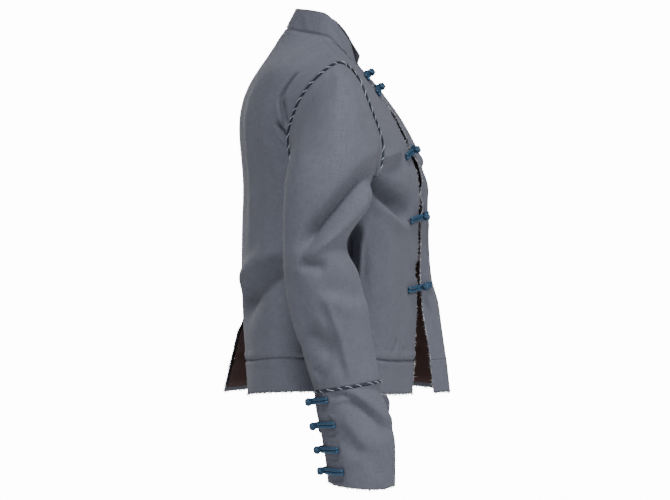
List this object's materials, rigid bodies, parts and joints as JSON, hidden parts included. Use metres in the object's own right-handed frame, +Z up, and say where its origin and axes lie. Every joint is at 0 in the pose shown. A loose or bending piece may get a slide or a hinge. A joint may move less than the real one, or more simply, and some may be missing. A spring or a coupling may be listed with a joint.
{
  "type": "military jacket",
  "caption": "Short grey-blue cotton military jacket, empty and filled out, with stand collar, corded armholes, hem band, back vent and cord frogs on front and cuffs.",
  "frame": {"origin": "middle of the neck opening, level with the neck points of the shoulder seams, where the wearer carries it", "axes": "+Z up, -Y towards the jacket's front, -X towards the wearer's right"},
  "size_m": [0.5646, 0.3371, 0.7026],
  "materials": {
    "cotton": "plain weave, soft sheen",
    "lining": "smooth dark brown lining",
    "piping": "twisted navy and white cord",
    "frog": "satin cord"
  },
  "bodies": {
    "root": {"front_right": "cotton", "front_left": "cotton", "back_right": "cotton", "back_left": "cotton", "hem_front_right": "cotton", "hem_front_left": "cotton", "hem_back_right": "cotton", "hem_back_left": "cotton", "sleeve_right": "cotton", "sleeve_left": "cotton", "cuff_right": "cotton", "cuff_left": "cotton", "collar": "cotton", "lining_front_right": "lining", "lining_front_left": "lining", "lining_back_right": "lining", "lining_back_left": "lining", "piping_armhole_right": "piping", "piping_armhole_left": "piping", "piping_cuff_right": "piping", "piping_cuff_left": "piping", "front_frog_1_loop": "frog", "front_frog_1_knot": "frog", "front_frog_2_loop": "frog", "front_frog_2_knot": "frog", "front_frog_3_loop": "frog", "front_frog_3_knot": "frog", "front_frog_4_loop": "frog", "front_frog_4_knot": "frog", "front_frog_5_loop": "frog", "front_frog_5_knot": "frog", "cuff_right_frog_1_loop": "frog", "cuff_right_frog_1_knot": "frog", "cuff_right_frog_2_loop": "frog", "cuff_right_frog_2_knot": "frog", "cuff_right_frog_3_loop": "frog", "cuff_right_frog_3_knot": "frog", "cuff_right_frog_4_loop": "frog", "cuff_right_frog_4_knot": "frog", "cuff_left_frog_1_loop": "frog", "cuff_left_frog_1_knot": "frog", "cuff_left_frog_2_loop": "frog", "cuff_left_frog_2_knot": "frog", "cuff_left_frog_3_loop": "frog", "cuff_left_frog_3_knot": "frog", "cuff_left_frog_4_loop": "frog", "cuff_left_frog_4_knot": "frog"}
  },
  "joints": []
}
